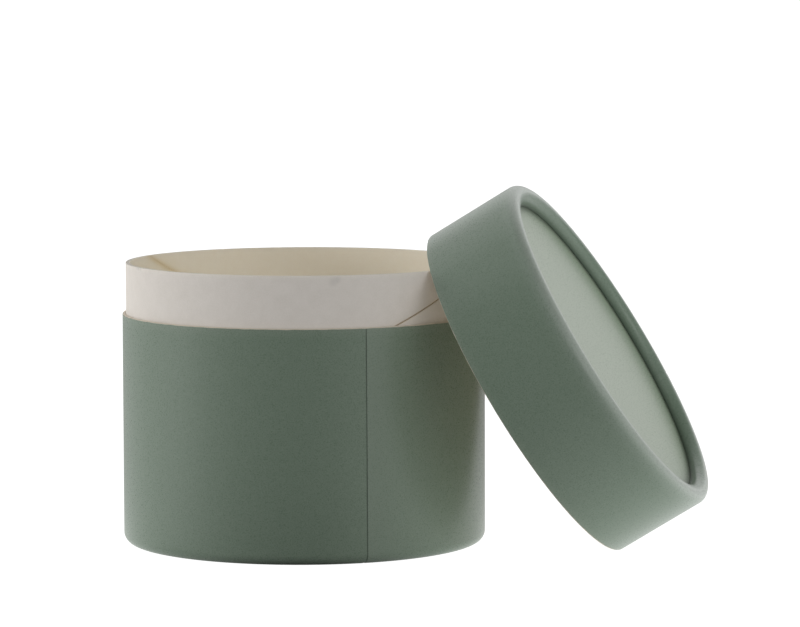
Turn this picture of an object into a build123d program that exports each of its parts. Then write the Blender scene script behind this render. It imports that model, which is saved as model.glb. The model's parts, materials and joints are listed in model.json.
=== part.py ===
from build123d import *
from math import asin, cos, degrees, pi, radians, sin, sqrt, tan
import os

# A round gift tube box: a wrapped base with a glued-in neck, and a wrapped lid that slides over the neck.
# The base's foot stands on the floor round the origin, +Z is up and -Y is the front.
# The lid is off. It leans on the neck's rim with its open end towards the base.
# All lengths are in millimetres and all angles in degrees.

# Overall sizes
outer_diameter = 100.0
lid_diameter = 100.3
shoulder_height = 63.5
neck_rise = 14.0
lid_height = 27.85

# The wrapped tube of the base and of the lid, from its outer face inwards, and how far the wrap stops short of its rim
wrap_paper = 0.14
tube_board = 0.6
tube_lining = 0.1
glue_line = 0.02
base_wrap_setback = 0.45
lid_wrap_setback = 0.3

# Its rolled end: the wall turns inwards through half a turn and ends in a short leg on the disc
foot_roll_radius = 2.9
foot_roll_leg = 0.5
lid_roll_radius = 2.6
lid_roll_leg = 0.9
roll_land = 0.4

# The neck, a spiral-wound tube that fills the base and stands out of it
neck_fit = 0.07
neck_paper = 0.16
neck_board = 0.85

# The two end discs, each a board with paper on both faces
disc_board = 1.5
disc_paper = 0.14
disc_fit = 0.08

# Seams: the wraps meet along a straight line, the wound plies along a spiral
wrap_seam_width = 0.15
base_wrap_seam_bearing = -69.0
lid_wrap_seam_bearing = 20.0
ply_strip_width = 119.0
ply_seam_width = 0.3
neck_outer_seam_bearing = -58.2
neck_inner_seam_bearing = 156.0
tube_lining_seam_bearing = 100.0

# How the lid leans: the slope of its axis, the way that it faces, and the room left at the neck's rim
lid_slope = 31.75
lid_bearing = -11.3
lean_gap = 0.12

# How far a cutter runs past what it cuts
cut_overrun = 1.0

# The depth of each layer of the tube below its outer face, from one of its faces to the other
wrap_layer = (0, wrap_paper)
board_layer = (wrap_paper + glue_line, wrap_paper + glue_line + tube_board)
lining_layer = (board_layer[1] + glue_line, board_layer[1] + glue_line + tube_lining)

# Sizes that more than one piece shares
base_radius = outer_diameter / 2
lid_radius = lid_diameter / 2
base_bore_radius = base_radius - lining_layer[1]
lid_bore_radius = lid_radius - lining_layer[1]
neck_radius = base_bore_radius - neck_fit
neck_top = shoulder_height + neck_rise

# What sets the shape of each wrapped tube
base_shape = {
    "radius": base_radius, "height": shoulder_height, "setback": base_wrap_setback,
    "roll": foot_roll_radius, "leg": foot_roll_leg,
}
lid_shape = {
    "radius": lid_radius, "height": lid_height, "setback": lid_wrap_setback,
    "roll": lid_roll_radius, "leg": lid_roll_leg,
}


# One face of the tube's wall as a line, from its open end down the wall and round the roll to the leg
def layer_line(shape, depth, top):
    wall = shape["radius"] - depth
    roll = shape["roll"]
    bend = roll - depth
    outer_turn = shape["radius"] - roll
    inner_turn = outer_turn - roll_land
    down = Line((wall, top), (wall, roll))
    first = CenterArc((outer_turn, roll), bend, 0, -90)
    land = Line((outer_turn, depth), (inner_turn, depth))
    second = CenterArc((inner_turn, roll), bend, -90, -90)
    leg = Line((inner_turn - bend, roll), (inner_turn - bend, roll + shape["leg"]))
    return [down, first, land, second, leg]


# The section of one layer of the tube, between its two faces
def layer_section(shape, layer, top):
    outside = layer_line(shape, layer[0], top)
    inside = layer_line(shape, layer[1], top)
    open_end = Line(outside[0] @ 0, inside[0] @ 0)
    leg_end = Line(outside[-1] @ 1, inside[-1] @ 1)
    return Plane.XZ * make_face(outside + [leg_end] + inside + [open_end])


# The board of a tube, rolled at its closed end
def rolled_board(shape):
    return revolve(layer_section(shape, board_layer, shape["height"]), Axis.Z)


# The paper round the tube, which goes round the roll with it and meets itself along a straight seam
def rolled_wrap(shape, seam_bearing):
    seam = degrees(wrap_seam_width / shape["radius"])
    section = layer_section(shape, wrap_layer, shape["height"] - shape["setback"])
    return Rot(0, 0, seam_bearing + seam / 2) * revolve(section, Axis.Z, 360 - seam)


# The ply that lines the tube, whose strip meets itself along a spiral seam on the wall
def rolled_lining(shape):
    height = shape["height"]
    ply = revolve(layer_section(shape, lining_layer, height), Axis.Z)
    middle = shape["radius"] - sum(lining_layer) / 2
    seam = spiral_cut(middle, tube_lining, shape["roll"], height + cut_overrun, height, tube_lining_seam_bearing)
    return ply - seam


# How far a strip wound edge to edge on a tube of this radius climbs in one turn
def spiral_pitch(radius):
    round_length = 2 * pi * radius
    return round_length * tan(asin(ply_strip_width / round_length))


# The cutter for a spiral seam, climbing anticlockwise and crossing mark_level at mark_bearing
def spiral_cut(radius, thickness, low, high, mark_level, mark_bearing):
    pitch = spiral_pitch(radius)
    line = Helix(pitch, high - low, radius)
    across = Plane(line @ 0, x_dir=(1, 0, 0), z_dir=line % 0)
    section = across * Rectangle(thickness + cut_overrun, ply_seam_width)
    start_bearing = mark_bearing + 360 * (low - mark_level) / pitch
    return Pos(0, 0, low) * Rot(0, 0, start_bearing) * sweep(section, path=line, is_frenet=True)


# A plain round sleeve between two radii and two levels
def sleeve(outside, inside, low, high):
    return Pos(0, 0, low) * extrude(Circle(outside) - Circle(inside), high - low)


# One paper ply of the neck, slit right through along its spiral seam
def neck_ply(outside, low, mark_level, mark_bearing):
    inside = outside - neck_paper
    middle = (outside + inside) / 2
    seam = spiral_cut(middle, neck_paper, low - cut_overrun, neck_top + cut_overrun, mark_level, mark_bearing)
    return sleeve(outside, inside, low, neck_top) - seam


# The levels of an end disc's layers, from the face that the roll's leg lands on
def disc_levels(shape):
    facing = shape["roll"] + shape["leg"]
    board = facing + disc_paper + glue_line
    lining = board + disc_board + glue_line
    return facing, board, lining, lining + disc_paper


# An end disc: its facing outside, its board and its lining
def end_disc(name, shape):
    facing, board, lining, top = disc_levels(shape)
    radius = shape["radius"] - lining_layer[1] - disc_fit
    return {
        name + "_facing": Pos(0, 0, facing) * extrude(Circle(radius), disc_paper),
        name: Pos(0, 0, board) * extrude(Circle(radius), disc_board),
        name + "_lining": Pos(0, 0, lining) * extrude(Circle(radius), disc_paper),
    }


# The base: the wrapped tube standing on its roll, with its disc resting on the roll's leg
def base_pieces():
    return {
        "base_wrap": rolled_wrap(base_shape, base_wrap_seam_bearing),
        "base_tube": rolled_board(base_shape),
        "base_tube_lining": rolled_lining(base_shape),
    } | end_disc("base_disc", base_shape)


# The neck: a board tube between two paper plies, standing on the base's disc
def neck_pieces():
    low = disc_levels(base_shape)[-1]
    board_radius = neck_radius - neck_paper - glue_line
    inner_radius = board_radius - neck_board - glue_line
    return {
        "neck_outer_ply": neck_ply(neck_radius, low, shoulder_height, neck_outer_seam_bearing),
        "neck_tube": sleeve(board_radius, board_radius - neck_board, low, neck_top),
        "neck_inner_ply": neck_ply(inner_radius, low, neck_top, neck_inner_seam_bearing),
    }


# The lid, made as the base is: standing on its roll, with its open end up
def lid_pieces():
    return {
        "lid_wrap": rolled_wrap(lid_shape, lid_wrap_seam_bearing),
        "lid_tube": rolled_board(lid_shape),
        "lid_tube_lining": rolled_lining(lid_shape),
    } | end_disc("lid_disc", lid_shape)


# The height of the middle of the leaning lid's open end, with its lowest edge on the floor
def open_end_height():
    slope = radians(lid_slope)
    on_board = (lid_radius - board_layer[0]) * cos(slope)
    on_wrap = lid_radius * cos(slope) - lid_wrap_setback * sin(slope)
    return max(on_board, on_wrap)


# How far out the open end's middle stands when its edge meets a round wall of the base at that wall's top
def lean_reach(edge_radius, wall_radius, wall_top):
    slope = radians(lid_slope)
    up = min(edge_radius, (wall_top - open_end_height()) / cos(slope))
    across = sqrt(edge_radius**2 - up**2)
    return up * sin(slope) + sqrt(max(wall_radius**2 - across**2, 0))


# Where the leaning lid goes: it touches whichever wall it meets first, on its inner or its outer edge
def lid_place():
    walls = [(neck_radius + lean_gap, neck_top), (base_radius + lean_gap, shoulder_height)]
    edges = [lid_bore_radius, lid_radius]
    reach = max(lean_reach(edge, wall, top) for edge in edges for wall, top in walls)
    outwards = Vector(1, 0, 0).rotate(Axis.Z, lid_bearing)
    slope = radians(lid_slope)
    to_closed_end = outwards * cos(slope) + Vector(0, 0, 1) * sin(slope)
    open_end = outwards * reach + Vector(0, 0, 1) * open_end_height()
    closed_end = open_end + to_closed_end * lid_height
    return Plane(closed_end, x_dir=outwards.rotate(Axis.Z, 90), z_dir=to_closed_end * -1).location


pieces = base_pieces() | neck_pieces()
leaning = lid_place()
pieces |= {name: leaning * solid for name, solid in lid_pieces().items()}

os.makedirs("parts", exist_ok=True)
for name, solid in pieces.items():
    export_step(solid, os.path.join("parts", name + ".step"))
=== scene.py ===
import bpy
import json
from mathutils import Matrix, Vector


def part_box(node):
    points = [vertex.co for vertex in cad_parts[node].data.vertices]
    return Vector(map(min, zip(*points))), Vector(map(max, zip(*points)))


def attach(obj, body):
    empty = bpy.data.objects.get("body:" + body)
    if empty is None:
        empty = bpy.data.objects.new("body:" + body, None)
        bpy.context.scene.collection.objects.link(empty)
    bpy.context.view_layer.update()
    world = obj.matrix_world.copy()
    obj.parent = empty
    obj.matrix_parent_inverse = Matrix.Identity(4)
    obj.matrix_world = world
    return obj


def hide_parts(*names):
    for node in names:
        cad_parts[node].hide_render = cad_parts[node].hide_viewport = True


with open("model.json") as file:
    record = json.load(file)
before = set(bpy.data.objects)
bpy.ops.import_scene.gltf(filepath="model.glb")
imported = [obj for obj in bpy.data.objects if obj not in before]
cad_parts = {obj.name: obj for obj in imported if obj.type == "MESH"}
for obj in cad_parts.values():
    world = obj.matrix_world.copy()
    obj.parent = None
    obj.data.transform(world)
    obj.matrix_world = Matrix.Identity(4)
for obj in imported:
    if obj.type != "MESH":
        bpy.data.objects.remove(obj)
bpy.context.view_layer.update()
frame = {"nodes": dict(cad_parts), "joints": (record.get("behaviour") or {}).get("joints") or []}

import json
import math

import bpy
import numpy as np
from mathutils import Matrix, Vector

# A wrapped gift tube with its lid leaning on the neck.
# Shapes are worked out in millimetres and put in the mesh in metres.
mm = 0.001
scene = bpy.context.scene
scene.view_settings.view_transform = "Standard"


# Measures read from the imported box, in millimetres

def nodeSize(node):
    low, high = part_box(node)
    return np.array(low) / mm, np.array(high) / mm


def nodeRadius(node):
    low, high = nodeSize(node)
    return (high[1] - low[1]) / 2


baseRadius = nodeRadius("base_wrap")
wrapTop, shoulder = nodeSize("base_wrap")[1][2], nodeSize("base_tube")[1][2]
facingLevel, floorLevel = nodeSize("base_disc_facing")[0][2], nodeSize("base_disc_lining")[1][2]
neckFoot, neckTop = nodeSize("neck_tube")[0][2], nodeSize("neck_tube")[1][2]
neckPaper = 0.16
neckOuter, neckInner = nodeRadius("neck_outer_ply"), nodeRadius("neck_inner_ply") - neckPaper

# The swing's limit holds the lid level over the neck, so the swing run backwards is how the lid leans
swing = next(joint for joint in frame["joints"] if joint["name"] == "lid_swing")
swingPole = Vector(swing["pos_m"]) / mm
swingAxis = Vector(swing["axis"]).normalized()
swingTurn = Matrix.Rotation(math.radians(swing["range_deg"][1]), 4, swingAxis)
toLevel = Matrix.Translation(swingPole) @ swingTurn @ Matrix.Translation(-swingPole)


def turned(points, matrix):
    rotation = np.array(matrix)
    return points @ rotation[:3, :3].T + rotation[:3, 3]


def levelSize(node):
    # the corners of a lid node's box once the lid is level over the neck
    mesh = frame["nodes"][node].data
    points = np.zeros(len(mesh.vertices) * 3, np.float32)
    mesh.vertices.foreach_get("co", points)
    points = turned(points.reshape(-1, 3) / mm, toLevel)
    return points.min(0), points.max(0)


lidLow, lidHigh = levelSize("lid_wrap")
lidRadius, lidTop, lidWrapRim = (lidHigh[1] - lidLow[1]) / 2, lidHigh[2], lidLow[2]
lidHeight = lidTop - levelSize("lid_tube")[0][2]
lidFacingLevel = lidTop - levelSize("lid_disc_facing")[1][2]
lidCeilingLevel = lidTop - levelSize("lid_disc_lining")[0][2]

# Lid pieces are shaped standing on their roll, as base pieces are, then turned over, carried up and leant
standX = -swingAxis
standY = Vector((-swingAxis.y, swingAxis.x, 0))
overNeck = Matrix(((standX.x, standY.x, 0, 0), (standX.y, standY.y, 0, 0), (0, 0, -1, lidTop), (0, 0, 0, 1)))
lidPlace = toLevel.inverted() @ overNeck
print("measures: base", baseRadius, wrapTop, shoulder, facingLevel, floorLevel, "neck", neckOuter, neckInner)
print("lid", lidRadius, lidHeight, lidTop - lidWrapRim, lidFacingLevel, lidCeilingLevel)


# Sheets: each new piece is a sheet of paper, a grid of points for its face and one for its back

def smoothStep(x):
    x = np.clip(x, 0, 1)
    return x * x * (3 - 2 * x)


def closedSheet(name, face, back, marks, place=None):
    # quads join neighbours of each grid, and a rim of quads round all four edges joins the face to the back
    rows, columns = face.shape[:2]
    count = rows * columns
    grid = np.arange(count).reshape(rows, columns)
    faceQuads = np.stack([grid[:-1, :-1], grid[1:, :-1], grid[1:, 1:], grid[:-1, 1:]], -1).reshape(-1, 4)
    rims = []
    for edge in (grid[0], grid[:, -1], grid[-1, ::-1], grid[::-1, 0]):
        rims.append(np.stack([edge[:-1], edge[1:], edge[1:] + count, edge[:-1] + count], -1))
    quads = np.concatenate([faceQuads, faceQuads[:, ::-1] + count] + rims)
    points = np.concatenate([face.reshape(-1, 3), back.reshape(-1, 3)])
    if place is not None:
        points = turned(points, place)
    # the volume inside is a sixth of the sum of the triangles' triple products,
    # and a sheet whose sum is below zero is inside out
    a, b, c, d = (points[quads[:, i]] for i in range(4))
    volume = np.einsum("ij,ij->", a, np.cross(b, c)) + np.einsum("ij,ij->", a, np.cross(c, d))
    if volume < 0:
        quads = quads[:, ::-1]
    mesh = bpy.data.meshes.new(name)
    mesh.vertices.add(len(points))
    mesh.vertices.foreach_set("co", (points * mm).ravel())
    mesh.loops.add(4 * len(quads))
    mesh.loops.foreach_set("vertex_index", quads.ravel())
    mesh.polygons.add(len(quads))
    mesh.polygons.foreach_set("loop_start", np.arange(0, 4 * len(quads), 4))
    mesh.polygons.foreach_set("use_smooth", np.arange(len(quads)) < 2 * len(faceQuads))
    mesh.update(calc_edges=True)
    for mark, values in marks.items():
        layer = mesh.attributes.new(mark, "FLOAT", "POINT")
        layer.data.foreach_set("value", np.tile(values.ravel(), 2).astype(np.float32))
    piece = bpy.data.objects.new(name, mesh)
    scene.collection.objects.link(piece)
    return piece


def around(line, bearings, lift=0):
    # a line of radius and height carried round the axis:
    # x and y are the radius times the cosine and the sine of the bearing
    radius = line[:, :1] + lift
    height = line[:, 1:] + 0 * bearings
    return np.stack([radius * np.cos(bearings), radius * np.sin(bearings), height], -1)


def rolledLine(shape, depth):
    # down the wall, a quarter turn inwards, across the land, a quarter turn up and along the leg to the disc.
    # The first two rows are short, so that the cut edge's shading stays at the edge
    bend = shape["roll"] - depth
    outerTurn = shape["tube"] - shape["roll"]
    innerTurn = outerTurn - shape["land"]
    turn = np.linspace(0, np.pi / 2, shape["rollSteps"])
    firstRow, secondRow = shape["rimRows"]
    down = np.linspace(shape["rim"] - secondRow, shape["roll"], shape["wallSteps"])[:-1]
    down = np.concatenate([[shape["rim"], shape["rim"] - firstRow], down])
    wall = np.stack([0 * down + shape["tube"] - depth, down], 1)
    first = np.stack([outerTurn + bend * np.cos(turn), shape["roll"] - bend * np.sin(turn)], 1)
    second = np.stack([innerTurn - bend * np.sin(turn), shape["roll"] - bend * np.cos(turn)], 1)
    up = np.linspace(shape["roll"], shape["disc"], shape["legSteps"])[1:]
    leg = np.stack([0 * up + innerTurn - bend, up], 1)
    return np.concatenate([wall, first, second, leg])


def grooveShade(line, shape):
    # painted shade of the groove: one where the leg meets the disc, falling off up the leg, and nothing on
    # the wall outside
    inside = line[:, :1] < shape["tube"] - shape["roll"] - shape["land"]
    return inside * np.exp(-((shape["disc"] - line[:, 1:]) / shape["grooveReach"]) ** 2)


def rollWearAndHighlightMark(line, shape):
    # pale wear with a painted highlight on the rolled edge: one on its land,
    # falling off slowly up the outside and four times as fast down the inside
    middle = shape["tube"] - shape["roll"] - shape["land"] / 2
    away = np.hypot(line[:, :1] - middle, line[:, 1:])
    reach = np.where(line[:, :1] > middle, shape["rubReach"], shape["rubReach"] / 4)
    return shape["rubbed"] * np.exp(-(away / reach) ** 2)


def edgeWear(line, reach):
    # one at the open end's cut edge, falling off down the wall
    return np.exp(-((line[0, 1] - line[:, 1:]) / reach) ** 2)


def wrapSheet(name, shape, place=None):
    # The sheet starts at its cut edge on top of its own far end and rides up there by its own thickness,
    # comes down to the board with a smooth step, and goes on round until it runs under its own start.
    # The end beneath sinks by what the top has come down, and round the roll it moves upwards instead
    length = 2 * np.pi * shape["tube"]
    near = np.array(shape["nearSeam"])
    arc = np.concatenate([near, np.linspace(near[-1], shape["ramp"], shape["rampSteps"])[1:],
                          np.linspace(shape["ramp"], length - near[-1], shape["turnSteps"])[1:-1],
                          length - near[::-1], length + near[1:], [length + shape["lap"]]])
    face, back = rolledLine(shape, 0), rolledLine(shape, shape["paper"])
    outwards = (face[:, :1] - back[:, :1]) / shape["paper"]
    room = shape["paper"] + shape["glue"]
    ride = (1 - smoothStep(arc / shape["ramp"])) * room
    beneath = -smoothStep((arc - length) / shape["ramp"]) * room
    sink = smoothStep((arc - length) / shape["sinkReach"] + 1) * room
    upwards = (back[:, 1:] - face[:, 1:]) / shape["paper"] * sink
    # the wrap went on a little out of true, so its seam leans by its slant in radians a millimetre
    lean = shape["slant"] * (face[:, 1:] - shape["rim"])
    bearings = math.radians(shape["seamBearing"]) + (arc / shape["tube"])[None] + lean
    fromSeam = np.abs(arc - length)
    # the seam's dark line is glue with a painted shadow of the lap's step in it
    dark = np.exp(-(fromSeam / shape["darkReach"]) ** 2) * (arc > length / 2)
    light = np.exp(-arc / shape["lightReach"]) * (arc < length / 2)
    # the curling die has pressed the seam shut inside the roll, so only a share of its shade is left there
    pressed = np.where(face[:, :1] < shape["tube"] - shape["roll"], shape["pressedShare"], 1.0)
    marks = {"seamDark": dark * pressed, "seamLight": light * pressed,
             "edgeWear": edgeWear(face, shape["wearReach"]) + 0 * arc,
             "groove": grooveShade(face, shape) + 0 * arc, "burnish": rollWearAndHighlightMark(face, shape) + 0 * arc}
    grids = [around(line, bearings, outwards * (ride + beneath)) for line in (face, back)]
    # the sheet's top edge was cut by hand: it stands up by its rise and dips by one cosine round the tube,
    # and the blade left small steps, two products of a fast and a slow sine. All fade down the wall
    dip = shape["dip"] * np.cos(bearings - math.radians(shape["dipBearing"])) + shape["rise"]
    fast, slow, faster, slower = shape["ragWaves"]
    steps = np.sin(arc / fast) * np.sin(arc / slow + 1)
    steps = steps + 0.8 * np.sin(arc / faster + 2) * np.sin(arc / slower)
    fade = np.clip((face[:, 1:] - shape["roll"]) / (shape["rim"] - shape["roll"]), 0, 1) ** 3
    for grid in grids:
        grid[..., 2] += upwards + fade * (dip + shape["rag"] * steps)
    return closedSheet(name, *grids, marks, place)


def woundSheet(name, shape, face, back, place=None):
    # A strip wound edge to edge: its bearing starts where the spiral seam stands at each height,
    # and the seam climbs one pitch a turn, the pitch being the way round times the tangent of the slant
    radius = shape["radius"]
    wayRound = 2 * np.pi * radius
    slant = math.asin(shape["stripWidth"] / wayRound)
    seamHeight = np.maximum(face[:, 1:], shape["seamFoot"]) - shape["seamLevel"]
    start = math.radians(shape["seamBearing"]) + 2 * np.pi * seamHeight / (wayRound * math.tan(slant))
    gap = shape["gap"] / math.sin(slant) / radius
    share = np.linspace(0, 1, shape["columns"])[None]
    bearings = start + gap / 2 + share * (2 * np.pi - gap)
    fromSeam = np.minimum(share, 1 - share) * wayRound * math.sin(slant)
    # the seam's dark line is glue with a painted shadow in it, with a lighter tone beside it
    marks = {"seamDark": np.exp(-(fromSeam / shape["darkReach"]) ** 2) + 0 * start,
             "seamLight": np.exp(-fromSeam / shape["lightReach"]) + 0 * start,
             "edgeWear": edgeWear(face, shape["wearReach"]) + 0 * share}
    return closedSheet(name, around(face, bearings), around(back, bearings), marks, place)


def straightLine(shape, depth):
    # up a straight ply, with its cut edge at the top eased by a quarter turn on the side that shows
    ease = shape["ease"] * (1 - depth / shape["paper"])
    turn = np.linspace(np.pi / 2, 0, shape["easeSteps"])
    up = np.linspace(shape["top"] - shape["ease"], shape["foot"], shape["rows"])
    side = shape["side"]
    edge = shape["top"] - shape["ease"] * (1 - np.sin(turn))
    top = np.stack([side * (ease * np.cos(turn) - ease), edge], 1)
    line = np.concatenate([top[:-1], np.stack([0 * up, up], 1)])
    line[:, 0] += shape["radius"] - side * depth
    return line


def discSheet(name, shape, place=None):
    # a square grid pushed out to a disc: x is u times the root of one less half v squared,
    # and y is v times the root of one less half u squared
    spread = np.sin(np.linspace(-np.pi / 2, np.pi / 2, shape["cells"]))
    u, v = np.meshgrid(spread, spread)
    x, y = shape["radius"] * u * np.sqrt(1 - v * v / 2), shape["radius"] * v * np.sqrt(1 - u * u / 2)
    # the paper waves by a sum of slow sines and one and a half, so it is never above its true level,
    # and it lies still at the rim, where it is held
    still = 1 - (x * x + y * y) / shape["radius"] ** 2
    a, b, c, d = shape["waves"]
    wave = 1.5 + np.sin(x / a + 1.3) * np.sin(y / b + 0.4) + 0.5 * np.sin(x / c + y / d)
    face = np.stack([x, y, shape["level"] - shape["up"] * shape["wave"] * wave * still], -1)
    back = np.stack([x, y, 0 * x + shape["level"] - shape["up"] * shape["paper"]], -1)
    # painted shade in the groove where the leg lands on it
    groove = np.exp(-((np.sqrt(x * x + y * y) - shape["leg"]) / shape["grooveReach"]) ** 2)
    return closedSheet(name, face, back, {"groove": groove}, place)


# The wraps, the dyed paper round the base and the lid

baseWrapShape = {
    "tube": baseRadius, "rim": wrapTop, "roll": 2.9, "land": 0.4, "disc": facingLevel,
    "paper": 0.14, "glue": 0.004, "rimRows": (0.04, 0.15),
    "wallSteps": 26, "rollSteps": 11, "legSteps": 5, "rampSteps": 24, "turnSteps": 440,
    "seamBearing": -69.35, "slant": -8.0e-5, "lap": 7.5, "ramp": 16.0, "sinkReach": 0.8, "pressedShare": 0.25,
    "rise": 0.27, "dip": 0.06, "dipBearing": 90.0, "rag": 0.035, "ragWaves": (1.1, 3.7, 0.63, 7.9),
    "nearSeam": [0, 0.05, 0.1, 0.15, 0.22, 0.3, 0.4, 0.55, 0.8, 1.2, 2.0, 3.2, 4.8],
    "darkReach": 0.2, "lightReach": 6.0, "wearReach": 0.35, "grooveReach": 0.8,
    # rubbed and rubReach set the roll's pale wear and painted highlight
    "rubbed": 0.15, "rubReach": 2.8,
}
lidWrapShape = baseWrapShape | {
    "tube": lidRadius, "rim": lidTop - lidWrapRim, "roll": 2.6, "disc": lidFacingLevel, "wallSteps": 16,
    # the lid's roll carries its painted highlight at full strength
    "seamBearing": 20.0, "slant": 0.0, "rise": 0.08, "dip": 0.11, "dipBearing": 225.0, "rubbed": 1.0,
}

baseWrap = wrapSheet("baseWrap", baseWrapShape)
lidWrap = wrapSheet("lidWrap", lidWrapShape, lidPlace)

# The plies of the neck and the lid's lining, strips wound edge to edge with a spiral seam

stripWidth = 119.0
plyShape = {
    "paper": neckPaper, "foot": neckFoot, "top": neckTop, "ease": 0.07,
    "easeSteps": 5, "rows": 60, "columns": 420,
    "stripWidth": stripWidth, "seamFoot": neckFoot, "wearReach": 0.3,
}
outerPlyShape = plyShape | {
    "radius": neckOuter, "side": 1, "seamLevel": shoulder, "seamBearing": -58.75,
    "gap": 0.07, "darkReach": 0.08, "lightReach": 0.8,
}
innerPlyShape = plyShape | {
    "radius": neckInner, "side": -1, "seamLevel": neckTop, "seamBearing": 156.0,
    "gap": 0.01, "darkReach": 0.8, "lightReach": 1.6,
}
liningFace, liningBack = 0.88, 0.78  # how deep in the wall the lining's two sides lie
lidLiningShape = lidWrapShape | {
    "rim": lidHeight, "radius": lidRadius - (liningFace + liningBack) / 2,
    "stripWidth": stripWidth, "gap": 0.3, "columns": 420,
    "seamFoot": lidWrapShape["roll"], "seamLevel": lidHeight, "seamBearing": 100.0,
}


def neckPly(name, shape):
    return woundSheet(name, shape, straightLine(shape, 0), straightLine(shape, shape["paper"]))


neckOuterPly = neckPly("neckOuterPly", outerPlyShape)
neckInnerPly = neckPly("neckInnerPly", innerPlyShape)
lidLining = woundSheet("lidLining", lidLiningShape, rolledLine(lidLiningShape, liningFace),
                       rolledLine(lidLiningShape, liningBack), lidPlace)
print("wraps and plies made")

# The papers on the two end discs

def legRadius(shape):
    # the roll's two quarter turns and its land, in from the wall
    return shape["tube"] - 2 * shape["roll"] - shape["land"]


discRoom = 0.96  # the wall's thickness and the room that a disc has in it
discShape = {
    "radius": baseRadius - discRoom, "leg": legRadius(baseWrapShape), "paper": 0.14, "grooveReach": 2.0,
    "cells": 150, "wave": 0.012, "waves": (11.0, 9.0, 5.1, 7.3),
}
lidDiscShape = discShape | {"radius": lidRadius - discRoom, "leg": legRadius(lidWrapShape)}
baseFacing = discSheet("baseFacing", discShape | {"level": facingLevel, "up": -1})
baseFloor = discSheet("baseFloor", discShape | {"level": floorLevel, "up": 1})
lidFacing = discSheet("lidFacing", lidDiscShape | {"level": lidFacingLevel, "up": -1}, lidPlace)
lidCeiling = discSheet("lidCeiling", lidDiscShape | {"level": lidCeilingLevel, "up": 1}, lidPlace)
print("disc papers made")


# Materials

def linearColour(code):
    # sRGB hex to linear: divided by 12.92 below the toe, and the 2.4 power above it
    channels = [int(code[i:i + 2], 16) / 255 for i in (0, 2, 4)]
    return [c / 12.92 if c <= 0.04045 else ((c + 0.055) / 1.055) ** 2.4 for c in channels] + [1]


def addNode(tree, kind, settings, inputs):
    # an input is given a value, or a link where its value is another node's output
    node = tree.nodes.new(kind)
    for setting, value in settings.items():
        setattr(node, setting, value)
    for socket, value in inputs.items():
        if isinstance(value, bpy.types.NodeSocket):
            tree.links.new(value, node.inputs[socket])
        else:
            node.inputs[socket].default_value = value
    return node


# Noise values keep to the middle of nought to one: nearly all lie in the wide span, most in the narrow one
wideSpan = {"From Min": 0.3, "From Max": 0.7}
narrowSpan = {"From Min": 0.35, "From Max": 0.65}
glossSpread = 0.05
# how much of a mark and of a scuff is left where the paper's tufts break it up most
markLeft, scuffLeft = 0.7, 0.4


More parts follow.
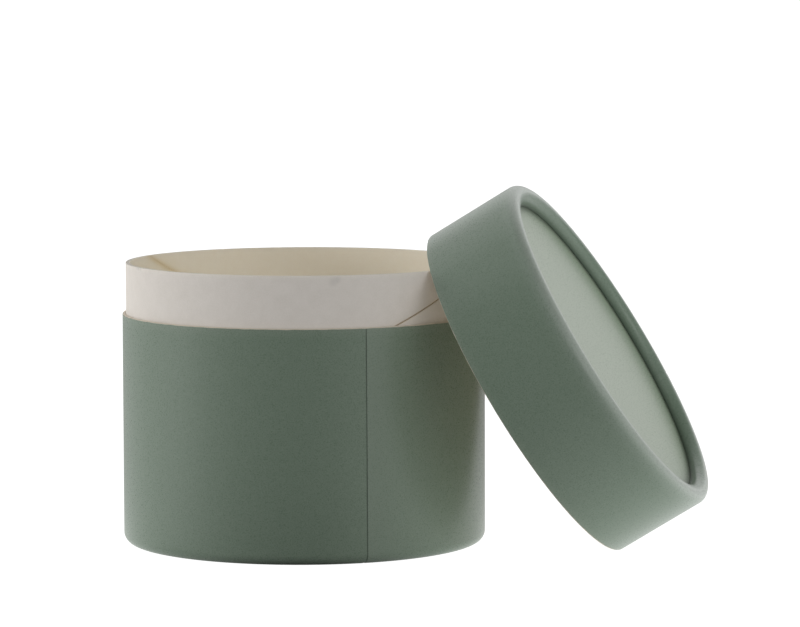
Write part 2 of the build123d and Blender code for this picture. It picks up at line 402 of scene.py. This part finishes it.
def paperMaterial(name, paper):
    material = bpy.data.materials.new(name)
    material.use_nodes = True
    tree = material.node_tree
    tree.nodes.clear()
    place = addNode(tree, "ShaderNodeTexCoord", {}, {}).outputs["Object"]

    # fine fibre tufts and slower clouds, each noise scale being one over the real size
    tufts = addNode(tree, "ShaderNodeTexNoise", {}, {
        "Vector": place, "Scale": 1 / (paper["tuft"] * mm), "Detail": 2.0, "Roughness": 0.55}).outputs["Fac"]
    clouds = addNode(tree, "ShaderNodeTexNoise", {}, {
        "Vector": place, "Scale": 1 / (paper["cloud"] * mm), "Detail": 2.0, "Roughness": 0.6}).outputs["Fac"]
    grain = addNode(tree, "ShaderNodeMix", {}, {0: paper["cloudShare"], 2: tufts, 3: clouds})
    spread = addNode(tree, "ShaderNodeMapRange", {}, {"Value": grain.outputs[0]} | wideSpan)
    colour = addNode(tree, "ShaderNodeMix", {"data_type": "RGBA"}, {
        0: spread.outputs[0], 6: linearColour(paper["dark"]), 7: linearColour(paper["light"])}).outputs[2]

    # what shows beside a seam and in it (glue with a painted shadow), the bare fibre along a cut edge, pale
    # wear with a painted highlight on a roll, and painted shade in a groove
    for mark, tint, share in paper.get("marks", []):
        strength = addNode(tree, "ShaderNodeAttribute", {"attribute_name": mark}, {}).outputs["Fac"]
        broken = addNode(tree, "ShaderNodeMapRange", {}, {
            "Value": tufts, "To Min": share * markLeft, "To Max": share} | narrowSpan)
        amount = addNode(tree, "ShaderNodeMath", {"operation": "MULTIPLY"}, {
            0: strength, 1: broken.outputs[0]})
        colour = addNode(tree, "ShaderNodeMix", {"data_type": "RGBA"}, {
            0: amount.outputs[0], 6: colour, 7: linearColour(tint)}).outputs[2]

    # stray dark fibres: a cell noise's centres, kept where the cell's own random colour is above its limit
    if "speckSize" in paper:
        cells = addNode(tree, "ShaderNodeTexVoronoi", {}, {
            "Vector": place, "Scale": 1 / (paper["speckApart"] * mm)})
        size = paper["speckSize"] / paper["speckApart"]
        near = addNode(tree, "ShaderNodeMapRange", {"interpolation_type": "SMOOTHSTEP"}, {
            "Value": cells.outputs["Distance"], "From Min": size, "From Max": 0.0})
        kept = addNode(tree, "ShaderNodeMath", {"operation": "GREATER_THAN"}, {
            0: cells.outputs["Color"], 1: paper["speckLimit"]})
        speck = addNode(tree, "ShaderNodeMath", {"operation": "MULTIPLY"}, {
            0: near.outputs[0], 1: kept.outputs[0]})
        amount = addNode(tree, "ShaderNodeMath", {"operation": "MULTIPLY"}, {
            0: speck.outputs[0], 1: paper["speckShare"]})
        colour = addNode(tree, "ShaderNodeMix", {"data_type": "RGBA"}, {
            0: amount.outputs[0], 6: colour, 7: linearColour(paper["speckTint"])}).outputs[2]

    # rubbed places: soft spots round a point on the sheet, broken up by the tufts
    for spot, reach, share in paper.get("scuffs", []):
        away = addNode(tree, "ShaderNodeVectorMath", {"operation": "DISTANCE"}, {
            0: place, 1: [c * mm for c in spot]})
        rubbed = addNode(tree, "ShaderNodeMapRange", {"interpolation_type": "SMOOTHSTEP"}, {
            "Value": away.outputs["Value"], "From Min": reach * mm, "From Max": 0.0, "To Max": share})
        patchy = addNode(tree, "ShaderNodeMapRange", {}, {"Value": tufts, "To Min": scuffLeft} | wideSpan)
        broken = addNode(tree, "ShaderNodeMath", {"operation": "MULTIPLY"}, {
            0: rubbed.outputs[0], 1: patchy.outputs[0]})
        colour = addNode(tree, "ShaderNodeMix", {"data_type": "RGBA"}, {
            0: broken.outputs[0], 6: colour, 7: linearColour(paper["scuffTint"])}).outputs[2]

    smooth, rough = paper["roughness"] - glossSpread, paper["roughness"] + glossSpread
    gloss = addNode(tree, "ShaderNodeMapRange", {}, {
        "Value": tufts, "To Min": smooth, "To Max": rough} | wideSpan)
    relief = addNode(tree, "ShaderNodeBump", {}, {
        "Height": grain.outputs[0], "Strength": 1.0, "Distance": paper["relief"] * mm})
    surface = addNode(tree, "ShaderNodeBsdfPrincipled", {}, {
        "Base Color": colour, "Roughness": gloss.outputs[0], "IOR": 1.5,
        "Specular IOR Level": paper["specular"], "Normal": relief.outputs[0]})
    addNode(tree, "ShaderNodeOutputMaterial", {}, {"Surface": surface.outputs[0]})
    return material


# Dyed uncoated wrapping paper, pressed smooth in the mill, so it has a soft gloss where light grazes it.
# Its dye sits cloudy in the fibre, its seam is a dark line of glue and painted shadow with a lighter lap
# beside it, its roll is rubbed pale by hands and carries a painted highlight, and painted shade lies in its
# groove at the disc
sagePaper = paperMaterial("sageWrappingPaper", {
    "light": "7F8F7F", "dark": "6E7F6F", "tuft": 0.32, "cloud": 1.7, "cloudShare": 0.2, "relief": 0.01,
    "roughness": 0.3, "specular": 0.37,
    "marks": [("seamLight", "849284", 0.8), ("seamDark", "2A352A", 0.9), ("edgeWear", "9AA395", 0.25),
              ("burnish", "BCC4BC", 1.0), ("groove", "2A352A", 0.7)],
})
# The same paper cut to discs, its colour painted paler to stand in for the light on the lid's upturned face,
# and its fibre lying flat, so it looks smoother; painted shade lies in its groove
endPaperPaintedLight = paperMaterial("sageEndPaperPaintedLight", {
    "light": "9CAA95", "dark": "96A690", "tuft": 0.32, "cloud": 1.7, "cloudShare": 0.2, "relief": 0.006,
    "roughness": 0.3, "specular": 0.37,
    "marks": [("groove", "2A352A", 0.75)],
})
# Bleached kraft paper wound on the outside of the neck: dead matt and white, with glue and a painted shadow
# in its seam,
# a stray fibre here and there, and grey scuffs at the rim where the lid has rubbed it
whitePly = paperMaterial("bleachedNeckPaper", {
    "light": "EDE7E0", "dark": "E5DFD7", "tuft": 0.35, "cloud": 3.0, "cloudShare": 0.5, "relief": 0.01,
    "roughness": 0.55, "specular": 0.0,
    "marks": [("seamDark", "A07C42", 0.9), ("seamLight", "D9CDB4", 0.25), ("edgeWear", "F4EFE4", 0.5)],
    "speckSize": 0.16, "speckApart": 5.0, "speckLimit": 0.6, "speckShare": 0.35,
    "speckTint": "8A7F74",
    "scuffs": [((-44.8, -19.9, 77.35), 0.9, 0.22), ((-44.3, -21.0, 77.3), 0.9, 0.25),
               ((-43.7, -22.2, 77.2), 0.9, 0.2), ((8.9, -48.2, 75.9), 2.0, 0.2),
               ((10.2, -48.0, 76.5), 1.6, 0.2)],
    "scuffTint": "8E8C8A",
})
# Unbleached white-top paper wound inside the neck: warmer, with a glue stain along its seam and a few fibres
creamPly = paperMaterial("creamNeckPaper", {
    "light": "FCF5E4", "dark": "F8EFDC", "tuft": 0.4, "cloud": 3.0, "cloudShare": 0.5, "relief": 0.012,
    "roughness": 0.6, "specular": 0.4,
    "marks": [("seamLight", "E3CF9C", 0.3), ("seamDark", "D9BE80", 0.5), ("edgeWear", "F0E8DA", 0.5)],
    "speckSize": 0.18, "speckApart": 5.5, "speckLimit": 0.6, "speckShare": 0.35,
    "speckTint": "9A8560",
})
# Machine-glazed lining paper in the lid and the base, cream and even, dull in the shade of the tube
tubeLining = paperMaterial("liningPaper", {
    "light": "E5DFD2", "dark": "DDD6C7", "tuft": 0.4, "cloud": 3.0, "cloudShare": 0.5, "relief": 0.012,
    "roughness": 0.6, "specular": 0.4,
    "marks": [("seamDark", "B7A27C", 0.6)],
})
# Lining paper on the discs' inner faces, a little darker and rougher
floorPaper = paperMaterial("discLiningPaper", {
    "light": "E2D8C5", "dark": "D9CEB9", "tuft": 0.45, "cloud": 3.5, "cloudShare": 0.5, "relief": 0.015,
    "roughness": 0.6, "specular": 0.4,
})
# Wound white-lined board, seen on its cut edges and above the wrap: dull, pinkish cream and open
woundBoard = paperMaterial("woundTubeBoard", {
    "light": "E8DED0", "dark": "DACEBD", "tuft": 0.25, "cloud": 1.2, "cloudShare": 0.4, "relief": 0.05,
    "roughness": 0.75, "specular": 0.3,
})
# The neck's whiter board, seen on its cut edge at the rim and in the seam of its paper
neckBoardFibre = paperMaterial("woundNeckBoard", {
    "light": "E4DFD6", "dark": "D0C8BA", "tuft": 0.25, "cloud": 1.2, "cloudShare": 0.4, "relief": 0.05,
    "roughness": 0.75, "specular": 0.3,
})
# Grey board punched to discs, hidden between its papers
discBoard = paperMaterial("punchedGreyBoard", {
    "light": "B9B2A2", "dark": "A39A88", "tuft": 0.3, "cloud": 1.5, "cloudShare": 0.4, "relief": 0.05,
    "roughness": 0.75, "specular": 0.3,
})

# Each sheet takes its finish, its body, its slot and the solids that it stands for
dressed = [
    (baseWrap, sagePaper, "box", "sage_wrap", ["base_wrap"]),
    (neckOuterPly, whitePly, "box", "white_ply", ["neck_outer_ply"]),
    (neckInnerPly, creamPly, "box", "cream_ply", ["neck_inner_ply"]),
    (baseFacing, endPaperPaintedLight, "box", "end_paper", ["base_disc_facing"]),
    (baseFloor, floorPaper, "box", "lining_paper", ["base_disc_lining"]),
    (lidWrap, sagePaper, "lid", "sage_wrap", ["lid_wrap"]),
    (lidLining, tubeLining, "lid", "tube_lining", ["lid_tube_lining"]),
    (lidFacing, endPaperPaintedLight, "lid", "end_paper", ["lid_disc_facing"]),
    (lidCeiling, floorPaper, "lid", "lining_paper", ["lid_disc_lining"]),
]
for piece, material, body, slot, nodes in dressed:
    piece.data.materials.append(material)
    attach(piece, body)
    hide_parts(*nodes)

# The boards and the base's hidden lining stay as they were packed
for node, material in {"base_tube": woundBoard, "lid_tube": woundBoard, "base_tube_lining": tubeLining,
                       "neck_tube": neckBoardFibre, "base_disc": discBoard, "lid_disc": discBoard}.items():
    frame["nodes"][node].data.materials.clear()
    frame["nodes"][node].data.materials.append(material)
print("materials given")


# The studio: a pale floor, and a room whose bright parts are a few soft spots of light set round the box

studio = {"floorReach": 15000.0, "floorColour": "959595", "floorShown": 1.0, "roomShown": 1.0}
# each spot's bearing to the right of the front and height above the floor in degrees,
# its sharpness and its strength
roomLights = [
    (0, 35, 20, 1.2), (0, 60, 20, 0.36), (30, 20, 50, 2.2), (45, 10, 50, 0.87), (45, 30, 50, 2.4),
    (60, 12, 50, 1.2), (75, 30, 50, 0.3), (80, 25, 200, 0.34), (90, 10, 50, 0.8), (90, 40, 50, 1.05),
    (130, 10, 50, 0.3),
    (-75, 10, 50, 3.2), (-90, 10, 50, 5.6), (-90, 35, 50, 1.76), (-90, 60, 50, 0.13),
    (-110, 15, 50, 1.6), (-110, 40, 50, 0.46), (-130, 40, 50, 0.92),
    (150, 8, 14, 0.75), (180, 8, 14, 0.43), (-150, 8, 14, 0.52), (180, 40, 8, 1.21),
]
floorLights = [(90, 0, 2, 1.02), (180, 0, 2, 0.28), (-90, 0, 2, 0.83)]


def spotsOfLight(tree, toward, spots):
    # each spot is the cosine of the angle from its middle, raised to its sharpness and times its strength
    total = 0.0
    for bearing, height, sharpness, power in spots:
        bearing, height = math.radians(bearing), math.radians(height)
        level = math.cos(height)
        middle = (math.sin(bearing) * level, -math.cos(bearing) * level, math.sin(height))
        cosine = addNode(tree, "ShaderNodeVectorMath", {"operation": "DOT_PRODUCT"}, {0: toward, 1: middle})
        facing = addNode(tree, "ShaderNodeMath", {"operation": "MAXIMUM"}, {
            0: cosine.outputs["Value"], 1: 0.0})
        spread = addNode(tree, "ShaderNodeMath", {"operation": "POWER"}, {0: facing.outputs[0], 1: sharpness})
        total = addNode(tree, "ShaderNodeMath", {"operation": "MULTIPLY_ADD"}, {
            0: spread.outputs[0], 1: power, 2: total}).outputs[0]
    return total


reach = studio["floorReach"] * mm
floorMesh = bpy.data.meshes.new("floor")
floorCorners = [(-reach, -reach, 0), (reach, -reach, 0), (reach, reach, 0), (-reach, reach, 0)]
floorMesh.from_pydata(floorCorners, [], [(0, 1, 2, 3)])
floor = bpy.data.objects.new("floor", floorMesh)
scene.collection.objects.link(floor)

# Matt white paper sweep, lit unevenly: it throws light on the box from both sides and behind,
# and reads as plain white
sweep = bpy.data.materials.new("whitePaperSweep")
sweep.use_nodes = True
sweepTree = sweep.node_tree
sweepTree.nodes.clear()
place = addNode(sweepTree, "ShaderNodeNewGeometry", {}, {}).outputs["Position"]
outwards = addNode(sweepTree, "ShaderNodeVectorMath", {"operation": "NORMALIZE"}, {0: place}).outputs[0]
seen = addNode(sweepTree, "ShaderNodeLightPath", {}, {}).outputs["Is Camera Ray"]
shown = addNode(sweepTree, "ShaderNodeMix", {}, {
    0: seen, 2: spotsOfLight(sweepTree, outwards, floorLights), 3: studio["floorShown"]})
glow = addNode(sweepTree, "ShaderNodeEmission", {}, {
    "Color": linearColour("FFFFFF"), "Strength": shown.outputs[0]})
matt = addNode(sweepTree, "ShaderNodeBsdfDiffuse", {}, {"Color": linearColour(studio["floorColour"])})
both = addNode(sweepTree, "ShaderNodeAddShader", {}, {0: glow.outputs[0], 1: matt.outputs[0]})
addNode(sweepTree, "ShaderNodeOutputMaterial", {}, {"Surface": both.outputs[0]})
floorMesh.materials.append(sweep)

world = bpy.data.worlds.new("studioRoom")
scene.world = world
world.use_nodes = True
room = world.node_tree
room.nodes.clear()
toward = addNode(room, "ShaderNodeTexCoord", {}, {}).outputs["Generated"]
direct = addNode(room, "ShaderNodeLightPath", {}, {}).outputs["Is Camera Ray"]
strength = addNode(room, "ShaderNodeMix", {}, {
    0: direct, 2: spotsOfLight(room, toward, roomLights), 3: studio["roomShown"]})
sky = addNode(room, "ShaderNodeBackground", {}, {
    "Color": linearColour("FFFFFF"), "Strength": strength.outputs[0]})
addNode(room, "ShaderNodeOutputWorld", {}, {"Surface": sky.outputs[0]})
print("studio lit")

# The camera stands where the photograph was taken from, fitted to the box's outline
cameraView = {
    "spot": (26.56, -1211.74, 177.10), "pitch": 84.615, "roll": -0.137, "lens": 198.28, "sensor": 36.0,
    "nearest": 0.05, "farthest": 60.0,
}
camera = bpy.data.objects.new("camera", bpy.data.cameras.new("camera"))
scene.collection.objects.link(camera)
scene.camera = camera
camera.data.lens, camera.data.sensor_width = cameraView["lens"], cameraView["sensor"]
camera.data.clip_start, camera.data.clip_end = cameraView["nearest"], cameraView["farthest"]
pitch = Matrix.Rotation(math.radians(cameraView["pitch"]), 4, "X")
roll = Matrix.Rotation(math.radians(cameraView["roll"]), 4, "Z")
camera.matrix_world = Matrix.Translation(Vector(cameraView["spot"]) * mm) @ pitch @ roll
print("camera set")
